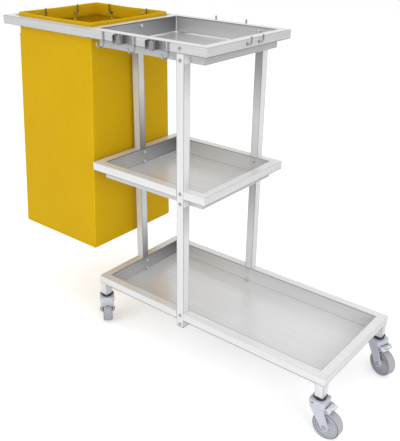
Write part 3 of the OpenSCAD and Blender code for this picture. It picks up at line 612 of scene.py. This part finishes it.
def bag_ring(drop, inset, z, dip=0.0):
    """Points round the bag at a drop from 0, the hem, to 1, the floor, drawn in by an inset."""
    low = mouth_low.lerp(foot_low, drop) + Vector((inset, inset))
    high = mouth_high.lerp(foot_high, drop) - Vector((inset, inset))
    radius = max(CORNER - inset, TIGHT_CORNER)
    bow = BOW * math.sin(math.pi * drop ** BOW_RISE)
    centres = [Vector((high.x - radius, high.y - radius)), Vector((low.x + radius, high.y - radius)),
               Vector((low.x + radius, low.y + radius)), Vector((high.x - radius, low.y + radius))]
    outward = [Vector((0, 1)), Vector((-1, 0)), Vector((0, -1)), Vector((1, 0))]
    ring = []
    for quarter, centre in enumerate(centres):
        for step in range(CORNER_STEPS + 1):
            turn = math.radians(90 * (quarter + step / CORNER_STEPS))
            ring.append((centre.x + radius * math.cos(turn), centre.y + radius * math.sin(turn), z))
        leave = centre + outward[quarter] * radius
        arrive = centres[(quarter + 1) % 4] + outward[quarter] * radius
        for step in range(1, SIDE_STEPS):
            share = step / SIDE_STEPS
            slack = math.sin(math.pi * share)
            ripple = RIPPLE * math.sin(RIPPLES * math.pi * share) * slack * (1 - abs(2 * drop - 1))
            point = leave.lerp(arrive, share) + outward[quarter] * (bow * slack ** 2 + ripple)
            ring.append((point.x, point.y, z - dip * slack ** 2))
    return ring


def wall_ring(share, inset):
    """A ring up the bag's wall, from 0 at the floor's edge to 1 at the hem."""
    return bag_ring(1 - share, inset, wall_z + (hem_z - wall_z) * share)


def floor_ring(share, inset, z):
    """A ring across the sagging floor, from 0 at its middle to 1 at its edge."""
    sag = FLOOR_SAG * math.cos(share * math.pi / 2) ** SAG_FULLNESS
    edge = [Vector((x, y)) for x, y, _ in bag_ring(1.0, inset, z)]
    return [(*(foot_middle + (point - foot_middle) * share), z - sag) for point in edge]


def hem_ring(inset, up):
    """A ring round the hem at a height above its lower edge; the mouth dips between the hooks."""
    return bag_ring(0.0, inset, hem_z + up, MOUTH_DIP * max(up, 0) / HEM)


def coated_cloth(low, high):
    """Paint for coated fabric: a fine plain weave under the coating, with soft scuffs and slow clouds."""

    def paint(tree):
        place = tree.node("TexCoord", output="Object")
        weft = (place.axis("Z") * THREADS).math("SINE")
        warp = ((place.axis("X") + place.axis("Y")) * THREADS).math("SINE")
        weave = weft * warp * 0.5 + 0.5
        clouds = place.noise(CLOTH_CLOUDS, detail=4.0)
        scuffs = place.noise(CLOTH_SCUFFS, detail=6.0)
        tone = clouds * CLOTH_CLOUD_SHARE + scuffs * SCUFF_SHARE + weave * WEAVE_SHARE
        relief = {"Strength": WEAVE_STRENGTH, "Distance": WEAVE_DEPTH, "Height": weave}
        return {
            "Base Color": tone.colour(low, high),
            "Roughness": scuffs * SCUFF_CHANGE + CLOTH_ROUGHNESS,
            "Specular IOR Level": CLOTH_SPECULAR,
            "Normal": tree.node("Bump", inputs=relief),
        }

    return paint


def square_to(along, spare):
    """Two directions square to a run. On a steep run, spare stands in for upright."""
    side = along.cross(UP if abs(along.z) < STEEP else spare).normalized()
    return side, side.cross(along)


def cord(mesh, points, radius, closed=False):
    """A round cord through points."""
    points = [Vector(point) for point in points]
    count = len(points)
    turns = [2 * math.pi * k / PIPING_SIDES for k in range(PIPING_SIDES)]
    rings = []
    for i, point in enumerate(points):
        ahead = points[(i + 1) % count] if closed or i + 1 < count else point
        behind = points[i - 1] if closed or i else point
        side, up = square_to((ahead - behind).normalized(), Vector((1, 0, 0)))
        rings.append([point + (side * math.cos(turn) + up * math.sin(turn)) * radius for turn in turns])
    if closed:
        skin(mesh, rings, along=True)
    else:
        solid(mesh, rings)


def stitch_row(mesh, points, closed=False):
    """Thread stitches along points, each a short spindle pressed half into the cloth."""
    points = [Vector(point) for point in points]
    if closed:
        points.append(points[0])
    travelled = 0.0
    for start, end in zip(points, points[1:]):
        run = end - start
        along = run.normalized()
        side, up = square_to(along, Vector((1, 1, 0)))
        place = -travelled % STITCH_PITCH
        while place < run.length:
            middle = start + along * place
            tips = [mesh.verts.new(middle + along * (way * STITCH / 2)) for way in (-1, 1)]
            waist = [mesh.verts.new(middle + way * STITCH_WIDE) for way in (side, up, -side, -up)]
            for k in range(4):
                mesh.faces.new((tips[1], waist[k], waist[(k + 1) % 4]))
                mesh.faces.new((tips[0], waist[(k + 1) % 4], waist[k]))
            place += STITCH_PITCH
        travelled += run.length


def islands(name):
    """The low and high corners of each separate solid in a node."""
    mesh = bmesh.new()
    mesh.from_mesh(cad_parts[name].data)
    bmesh.ops.remove_doubles(mesh, verts=mesh.verts, dist=SAME_POINT)
    boxes, seen = [], set()
    for first in mesh.verts:
        if first in seen:
            continue
        seen.add(first)
        group = [first]
        for vert in group:
            beside = {edge.other_vert(vert) for edge in vert.link_edges} - seen
            seen |= beside
            group.extend(beside)
        boxes.append((Vector([min(vert.co[k] for vert in group) for k in range(3)]),
                      Vector([max(vert.co[k] for vert in group) for k in range(3)])))
    mesh.free()
    return boxes


bag_rings = [floor_ring(share, 0.0, bag_low.z) for share in FLOOR_STEPS_OUTSIDE]
for turn in FLOOR_EDGE_TURNS:
    edge = math.radians(turn)
    inset = CORNER * (1 - math.sin(edge))
    bag_rings.append(bag_ring(1.0, inset, bag_low.z + CORNER * (1 - math.cos(edge))))
bag_rings += [wall_ring(step / WALL_STEPS, 0.0) for step in range(1, WALL_STEPS)]
bag_rings += [hem_ring(inset, up) for inset, up in HEM_EDGE_OUTSIDE]
bag_rings += [hem_ring(-HEM_PROUD, up) for up in HEM_LEVELS]
for turn in range(30, 180, 30):
    roll = math.radians(turn)
    inset = -HEM_PROUD + (HEM_THICK + HEM_PROUD) / 2 * (1 - math.cos(roll))
    bag_rings.append(hem_ring(inset, HEM - RIM_ROLL + RIM_ROLL * math.sin(roll)))
bag_rings += [hem_ring(HEM_THICK, up) for up in reversed(HEM_LEVELS)]
bag_rings += [hem_ring(inset, up) for inset, up in HEM_EDGE_INSIDE]
bag_rings += [wall_ring(step / WALL_STEPS, CLOTH) for step in range(WALL_STEPS - 1, 0, -1)]
bag_rings += [floor_ring(share, CLOTH, bag_low.z + CLOTH) for share in FLOOR_STEPS_INSIDE]
bag_mesh = bmesh.new()
solid(bag_mesh, bag_rings)
bag_cloth = new_finish("coated bag cloth", coated_cloth(CLOTH_DARK, CLOTH_LIGHT))
waste_bag = new_piece("waste_bag_cloth", bag_mesh, bag_cloth)
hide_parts("waste_bag")

punch_mesh = bmesh.new()
for low, high in islands("bag_eyelets"):
    size = high - low
    facing = Vector((1, 0, 0)) if size.x < size.y else Vector((0, 1, 0))
    turned = Matrix.Translation((low + high) / 2) @ facing.to_track_quat("Z", "Y").to_matrix().to_4x4()
    bmesh.ops.create_cone(punch_mesh, cap_ends=True, segments=32, radius1=EYELET_HOLE, radius2=EYELET_HOLE,
                          depth=PUNCH_LENGTH, matrix=turned)
punch_data = bpy.data.meshes.new("eyelet punch")
punch_mesh.to_mesh(punch_data)
punch_mesh.free()
punch = bpy.data.objects.new("eyelet punch", punch_data)
bpy.context.scene.collection.objects.link(punch)
holes = waste_bag.modifiers.new("eyelet holes", "BOOLEAN")
holes.operation = "DIFFERENCE"
holes.object = punch
bpy.context.view_layer.update()
pierced = bpy.data.meshes.new_from_object(waste_bag.evaluated_get(bpy.context.evaluated_depsgraph_get()))
waste_bag.modifiers.clear()
waste_bag.data = pierced
bpy.data.objects.remove(punch)

piping_mesh = bmesh.new()
side_count = CORNER_STEPS + SIDE_STEPS
for quarter in range(4):
    seam = quarter * side_count + CORNER_STEPS // 2
    seam_points = [wall_ring(step / WALL_STEPS, -PIPING / 3)[seam] for step in range(WALL_STEPS)]
    cord(piping_mesh, seam_points, PIPING)
cord(piping_mesh, bag_ring(1.0, -PIPING / 3, wall_z), PIPING, closed=True)
piping_cloth = new_finish("bag piping", coated_cloth(PIPING_DARK, PIPING_LIGHT))
new_piece("bag_piping", piping_mesh, piping_cloth)

stitch_mesh = bmesh.new()
for up in HEM_STITCHES:
    stitch_row(stitch_mesh, hem_ring(-HEM_PROUD, up), closed=True)
    stitch_row(stitch_mesh, hem_ring(HEM_THICK, up), closed=True)
for quarter in range(4):
    for beside in (quarter * side_count - 1, quarter * side_count + CORNER_STEPS + 1):
        stitch_row(stitch_mesh, [wall_ring(step / WALL_STEPS, 0.0)[beside] for step in range(WALL_STEPS)])
bag_thread = new_finish("bag thread", coated_cloth(PIPING_LIGHT, THREAD_TONE))
new_piece("bag_stitches", stitch_mesh, bag_thread)

# Bag hooks and eyelets: bent pegs of drawn wire, each welded by a small foot to the loop or the tray's lip,
# that pass the plated eyelets clinched in the hem and turn up inside the bag.
FOOT = 0.010
FOOT_WELD = 0.0011
DRAWN_DARK = (0.34, 0.34, 0.35, 1)
DRAWN_LIGHT = (0.62, 0.62, 0.63, 1)
DRAWN_ROUGHNESS = 0.15
PLATED_DARK = (0.70, 0.70, 0.71, 1)
PLATED_LIGHT = (0.95, 0.95, 0.95, 1)
PLATED_ROUGHNESS = 0.15


def foot_weld(mesh, foot, facing):
    """A hollow fillet round a hook's foot on the face that it stands on."""
    side = facing.cross(UP)
    profile = [(FOOT / 2 + out, up) for out, up in concave_fillet(FOOT_WELD, steps=4)]
    turns = [math.radians(15 * k) for k in range(24)]
    skin(mesh, [[foot + facing * up + (side * math.cos(turn) + UP * math.sin(turn)) * out
                 for turn in turns] for out, up in profile], along=True)


def hook_welds(name, hooks, faces):
    """Fillets at the feet of a node's hooks. Each hook stands on the nearest of faces.

    A face is given by its axis, its plane along that axis, and the way that it looks.
    """
    mesh = bmesh.new()
    for low, high in islands(hooks):
        middle = (low + high) / 2
        _, axis, plane, facing = min(
            (abs((low if way > 0 else high)[axis] - plane), axis, plane, way) for axis, plane, way in faces)
        foot = Vector((middle.x, middle.y, low.z + FOOT / 2))
        foot[axis] = plane
        normal = Vector((0, 0, 0))
        normal[axis] = facing
        foot_weld(mesh, foot, normal)
    new_piece(name, mesh, weld_steel)


drawn_wire = new_finish("drawn wire", bright_metal(DRAWN_DARK, DRAWN_LIGHT, DRAWN_ROUGHNESS))
plated_steel = new_finish("plated eyelets", bright_metal(PLATED_DARK, PLATED_LIGHT, PLATED_ROUGHNESS))
dress(drawn_wire, "bag_hooks")
dress(plated_steel, "bag_eyelets")
top_low, top_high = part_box("top_tray")
arm_front_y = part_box("handle_arm_front")[1].y
arm_back_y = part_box("handle_arm_back")[0].y
hook_welds("bag_hook_welds", "bag_hooks",
           [(0, loop_high.x, 1), (0, top_low.x, -1), (1, arm_front_y, 1), (1, arm_back_y, -1)])

# Tool hooks: the same drawn wire. Three J-shaped hooks are welded along their stems to the front lip, and
# peg hooks stand on small feet on the right and back lips.
STEM_WELD_TOP = 0.007
STEM_WELD_FOOT = 0.019
STEM_WELD_INSET = 0.0004
STEM_BEAD = 0.0026
STEM_BEAD_RISE = 0.0011
dress(drawn_wire, "tool_hooks", "side_hooks", "back_hooks")
hook_welds("side_hook_welds", "side_hooks", [(0, top_high.x, 1)])
hook_welds("back_hook_welds", "back_hooks", [(1, top_high.y, 1)])
stem_welds = bmesh.new()
for low, high in islands("tool_hooks"):
    for x in (low.x + STEM_WELD_INSET, high.x - STEM_WELD_INSET):
        start = (x, top_low.y, top_high.z - STEM_WELD_TOP)
        end = (x, top_low.y, top_high.z - STEM_WELD_FOOT)
        weld_bead(stem_welds, start, end, Vector((0, -1, 0)), STEM_BEAD, STEM_BEAD_RISE)
new_piece("tool_hook_welds", stem_welds, weld_steel)

# Tool clips: spring-steel strip, bent into two round jaws in front of a flat plate, which a screw holds to
# the front lip.
SPRING_DARK = (0.36, 0.36, 0.37, 1)
SPRING_LIGHT = (0.74, 0.74, 0.75, 1)
SPRING_ROUGHNESS = 0.14
spring_steel = new_finish("spring steel", bright_metal(SPRING_DARK, SPRING_LIGHT, SPRING_ROUGHNESS))
dress(spring_steel, "tool_clip_left", "tool_clip_right")

# Casters: a square plug in each leg carries the stem, and a moulded fork turns on it under a washer. The
# wheel is a moulded hub on a steel sleeve, with a grey rubber tyre. A dark ring round each flank is painted
# shade of a groove.
SWIVEL = {"fl": 138, "fr": 0, "bl": 150, "br": -21}
PLUG_EASE = 0.0006
FORK_EASE = 0.0010
TRAIL = 0.029
WHEEL_RADIUS = 0.040
WHEEL_WIDTH = 0.028
FLANK_LINE = 0.0372
# The flank line's section: how far out from its radius, and how far it stands off the flank.
FLANK_SECTION = ((-0.0008, -0.0003), (-0.0003, 0.0005), (0.0003, 0.0005), (0.0008, -0.0003))
HEAD_HALF = 0.023
RIVET_AHEAD = -0.011
RIVET_Z = 0.1042
RIVET = 0.0027
RIVET_ROOT = 0.0022
RIVET_DOME = 0.0011
FORK_DARK = (0.46, 0.483, 0.55, 1)
FORK_LIGHT = (0.62, 0.645, 0.72, 1)
FORK_ROUGHNESS = 0.28
HUB_DARK = (0.48, 0.49, 0.55, 1)
HUB_LIGHT = (0.62, 0.63, 0.70, 1)
HUB_ROUGHNESS = 0.32
TYRE_DARK = (0.32, 0.325, 0.35, 1)
TYRE_LIGHT = (0.44, 0.445, 0.47, 1)
GROOVE_SHADE_DARK = (0.050, 0.050, 0.056, 1)
GROOVE_SHADE_LIGHT = (0.095, 0.095, 0.105, 1)
RUBBER_ROUGHNESS = 0.55
RUBBER_GRAIN = 1500.0
RIVET_DARK = (0.10, 0.10, 0.13, 1)
RIVET_LIGHT = (0.24, 0.24, 0.29, 1)
RIVET_ROUGHNESS = 0.25


def caster_place(corner):
    """The frame of a caster at rest: its swivel axis is upright, and X points to its wheel."""
    low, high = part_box("leg_" + corner)
    middle = (low + high) / 2
    return (Matrix.Translation((middle.x, middle.y, 0))
            @ Matrix.Rotation(math.radians(SWIVEL[corner]), 4, "Z"))


def turned_on_y(profile, place, sides):
    """Rings round the Y direction of a place, from (radius, y) points."""
    turns = [2 * math.pi * k / sides for k in range(sides)]
    return [[place @ Vector((radius * math.cos(turn), y, radius * math.sin(turn))) for turn in turns]
            for radius, y in profile]


fork_plastic = new_finish("fork plastic", moulded_plastic(FORK_DARK, FORK_LIGHT, FORK_ROUGHNESS))
hub_plastic = new_finish("hub plastic", moulded_plastic(HUB_DARK, HUB_LIGHT, HUB_ROUGHNESS))
tyre_rubber = new_finish("tyre rubber",
                         moulded_plastic(TYRE_DARK, TYRE_LIGHT, RUBBER_ROUGHNESS, RUBBER_GRAIN))
groove_shade_rubber = new_finish("dark rubber line",
                         moulded_plastic(GROOVE_SHADE_DARK, GROOVE_SHADE_LIGHT, RUBBER_ROUGHNESS, RUBBER_GRAIN))
dark_rivet = new_finish("dark rivet", bright_metal(RIVET_DARK, RIVET_LIGHT, RIVET_ROUGHNESS))
dress(cap_plastic, "leg_plugs", "swivel_washers")
eased(PLUG_EASE, "leg_plugs")
dress(zinc, "caster_stems")
rivet_turns = [math.radians(turn) for turn in (0, 25, 50, 75)]
rivet_profile = [(RIVET, RIVET_ROOT)]
rivet_profile += [(RIVET * math.cos(turn), -RIVET_DOME * math.sin(turn)) for turn in rivet_turns]
for corner in SWIVEL:
    dress(fork_plastic, "fork_" + corner)
    eased(FORK_EASE, "fork_" + corner)
    dress(zinc, "axle_sleeve_" + corner, "axle_bolt_" + corner, "axle_nut_" + corner)
    dress(hub_plastic, "wheel_hub_" + corner)
    dress(tyre_rubber, "tyre_" + corner)
    axle = caster_place(corner) @ Matrix.Translation((TRAIL, 0, WHEEL_RADIUS))
    # Dark rings on the tyre's flanks: painted shade of a groove.
    lines = bmesh.new()
    for side in (-1, 1):
        flank = side * WHEEL_WIDTH / 2
        section = [(FLANK_LINE + out, flank + side * rise) for out, rise in FLANK_SECTION]
        skin(lines, turned_on_y(section, axle, sides=48), along=True)
    new_piece("tyre_lines_" + corner, lines, groove_shade_rubber, "wheel_" + corner, rounded=False)
    rivet_place = caster_place(corner) @ Matrix.Translation((RIVET_AHEAD, -HEAD_HALF, RIVET_Z))
    rivet = bmesh.new()
    solid(rivet, turned_on_y(rivet_profile, rivet_place, sides=24))
    new_piece("fork_rivet_" + corner, rivet, dark_rivet, "caster_" + corner)

# Brake pedals: moulded treads on the two right casters, on a riveted pin between the fork's ears. The tread
# is ribbed on top and padded with dark plastic underneath; the dark pad also paints the shadow under it.
PIN_AHEAD = 0.029
PIN_Z = 0.091
PEDAL_EASE = 0.0006
TREAD_TILT = 24
TREAD_TOP = 0.005
TREAD_THICK = 0.003
TREAD_WIDTH = 0.024
RIB_PLACES = (0.0095, 0.013, 0.0165)
RIB_HALF = 0.0008
RIB_RISE = 0.0007
RIB_ROOT = 0.0005
RIB_MARGIN = 0.003
PAD_FROM = 0.0115
PAD_TO = 0.0192
PAD_DROP = 0.0022
PAD_ROOT = 0.0004
PAD_MARGIN = 0.001
PEDAL_DARK = (0.66, 0.67, 0.70, 1)
PEDAL_LIGHT = (0.84, 0.85, 0.88, 1)
PEDAL_ROUGHNESS = 0.3


def slab(mesh, low, high, place):
    """A box between two corners in a place's own directions, with its upper edges broken."""
    inset = min(high[0] - low[0], high[2] - low[2]) / 4
    rings = []
    for z, back in ((low[2], 0.0), (high[2] - inset, 0.0), (high[2], inset)):
        rings.append([place @ Vector(point) for point in (
            (low[0] + back, low[1] + back, z), (high[0] - back, low[1] + back, z),
            (high[0] - back, high[1] - back, z), (low[0] + back, high[1] - back, z))])
    solid(mesh, rings)


pedal_plastic = new_finish("pedal plastic", moulded_plastic(PEDAL_DARK, PEDAL_LIGHT, PEDAL_ROUGHNESS))
for corner in ("fr", "br"):
    dress(pedal_plastic, "brake_pedal_" + corner)
    eased(PEDAL_EASE, "brake_pedal_" + corner)
    dress(zinc, "brake_pin_" + corner)
    tread = (caster_place(corner) @ Matrix.Translation((PIN_AHEAD, 0, PIN_Z))
             @ Matrix.Rotation(math.radians(-TREAD_TILT), 4, "Y"))
    ribs = bmesh.new()
    for along in RIB_PLACES:
        slab(ribs, (along - RIB_HALF, -TREAD_WIDTH / 2 + RIB_MARGIN, TREAD_TOP - RIB_ROOT),
             (along + RIB_HALF, TREAD_WIDTH / 2 - RIB_MARGIN, TREAD_TOP + RIB_RISE), tread)
    new_piece("pedal_ribs_" + corner, ribs, pedal_plastic, "pedal_" + corner, rounded=False)
    # A dark pad under the tread: a real pad, which also paints the shadow under the tread.
    pad = bmesh.new()
    under = TREAD_TOP - TREAD_THICK
    slab(pad, (PAD_FROM, -TREAD_WIDTH / 2 + PAD_MARGIN, under - PAD_DROP),
         (PAD_TO, TREAD_WIDTH / 2 - PAD_MARGIN, under + PAD_ROOT), tread)
    new_piece("pedal_pad_" + corner, pad, cap_plastic, "pedal_" + corner, rounded=False)

# Studio: a white floor that runs out of sight under an even white sky, with three large soft lamps. Metal
# sees a floor that is bright at the front left and greyer at the back right and far off: painted shade, as
# the lamps' light falls off. The camera stands about where the photograph was taken from.
FLOOR_HALF = 40.0
FLOOR_TONE = (0.90, 0.90, 0.90, 1)
FLOOR_LIFT = (0.32, 0.32, 0.32, 1)
FLOOR_BRIGHT = (1.0, 1.0, 1.0, 1)
FLOOR_GREY = (0.68, 0.68, 0.69, 1)
FLOOR_FAR = (0.62, 0.62, 0.63, 1)
FLOOR_ROUGHNESS = 0.9
GREY_TOWARDS = (0.62, 0.78)
GREY_FROM, GREY_TO = -0.4, 1.2
FAR_FROM, FAR_TO = 1.5, 4.0
SKY_LIGHT = (0.74, 0.74, 0.74, 1)
SKY_IN_METAL = (0.90, 0.90, 0.90, 1)
WHITE = (1, 1, 1, 1)
BLACK = (0, 0, 0, 1)
CAMERA_PLACE = (1.1537, -1.4537, 1.2639)
CAMERA_YAW = 38.341
CAMERA_PITCH = 25.171
CAMERA_ROLL = 0.826
CAMERA_FOCUS = 660.90
PHOTO_HEIGHT = 441
SENSOR = 36.0


def seen_by(tree):
    """Masks of the rays by which the camera sees a thing, and of those by which metal mirrors it."""
    in_view = tree.node("LightPath", output="Is Camera Ray").math(
        "MAXIMUM", tree.node("LightPath", output="Is Transmission Ray"))
    return in_view, tree.node("LightPath", output="Is Glossy Ray")


def eased_ramp(value, start, end):
    """A mask that rises smoothly from 0 at a start to 1 at an end."""
    return value.node("MapRange", {"interpolation_type": "SMOOTHSTEP"},
                      {"Value": value, "From Min": start, "From Max": end})


def floor_paint(tree):
    """White floor, lifted for the camera, that metal sees grading from white to grey in painted shade."""
    place = tree.node("TexCoord", output="Object")
    towards = place.axis("X") * GREY_TOWARDS[0] + place.axis("Y") * GREY_TOWARDS[1]
    reach = place.node("VectorMath", {"operation": "LENGTH"}, {0: place}, "Value")
    graded = eased_ramp(towards, GREY_FROM, GREY_TO).colour(FLOOR_BRIGHT, FLOOR_GREY)
    mirrored = eased_ramp(reach, FAR_FROM, FAR_TO).colour(graded, FLOOR_FAR)
    in_view, in_metal = seen_by(tree)
    return {
        "Base Color": in_metal.colour(FLOOR_TONE, mirrored),
        "Roughness": FLOOR_ROUGHNESS,
        "Specular IOR Level": 0.0,
        "Emission Color": in_view.colour(BLACK, FLOOR_LIFT),
        "Emission Strength": 1.0,
    }


floor_mesh = bmesh.new()
bmesh.ops.create_grid(floor_mesh, x_segments=1, y_segments=1, size=FLOOR_HALF)
floor_data = bpy.data.meshes.new("floor")
floor_mesh.to_mesh(floor_data)
floor_mesh.free()
floor_data.materials.append(new_finish("white floor", floor_paint))
floor = bpy.data.objects.new("floor", floor_data)
bpy.context.scene.collection.objects.link(floor)

world = bpy.data.worlds.new("studio")
bpy.context.scene.world = world
world.use_nodes = True
world.node_tree.nodes.clear()
sky = Socket(world.node_tree)
in_view, in_metal = seen_by(sky)
sky_tone = in_view.colour(in_metal.colour(SKY_LIGHT, SKY_IN_METAL), WHITE)
background = sky.node("Background", inputs={"Color": sky_tone, "Strength": 1.0})
sky.node("OutputWorld", inputs={"Surface": background})


def soft_lamp(name, place, aim, size, power):
    lamp = bpy.data.lights.new(name, "AREA")
    lamp.shape = "DISK"
    lamp.size = size
    lamp.energy = power
    stand = bpy.data.objects.new(name, lamp)
    stand.location = place
    stand.rotation_euler = (Vector(aim) - Vector(place)).to_track_quat("-Z", "Y").to_euler()
    stand.visible_glossy = False
    bpy.context.scene.collection.objects.link(stand)


soft_lamp("key lamp", place=(-0.6, -3.4, 2.6), aim=(0, 0, 0.5), size=2.6, power=36)
soft_lamp("side lamp", place=(3.0, -1.4, 1.5), aim=(-0.2, 0, 0.6), size=2.6, power=40)
soft_lamp("top lamp", place=(0.4, 0.2, 3.6), aim=(0, 0, 0.4), size=3.0, power=20)

camera_data = bpy.data.cameras.new("camera")
camera_data.sensor_width = SENSOR
camera_data.lens = CAMERA_FOCUS * SENSOR / PHOTO_HEIGHT
camera = bpy.data.objects.new("camera", camera_data)
turn = (Matrix.Rotation(math.radians(CAMERA_YAW), 4, "Z")
        @ Matrix.Rotation(math.radians(90 - CAMERA_PITCH), 4, "X")
        @ Matrix.Rotation(math.radians(CAMERA_ROLL), 4, "Z"))
camera.matrix_world = Matrix.Translation(CAMERA_PLACE) @ turn
bpy.context.scene.collection.objects.link(camera)
bpy.context.scene.camera = camera
bpy.context.scene.view_settings.view_transform = "Standard"

bpy.context.view_layer.update()
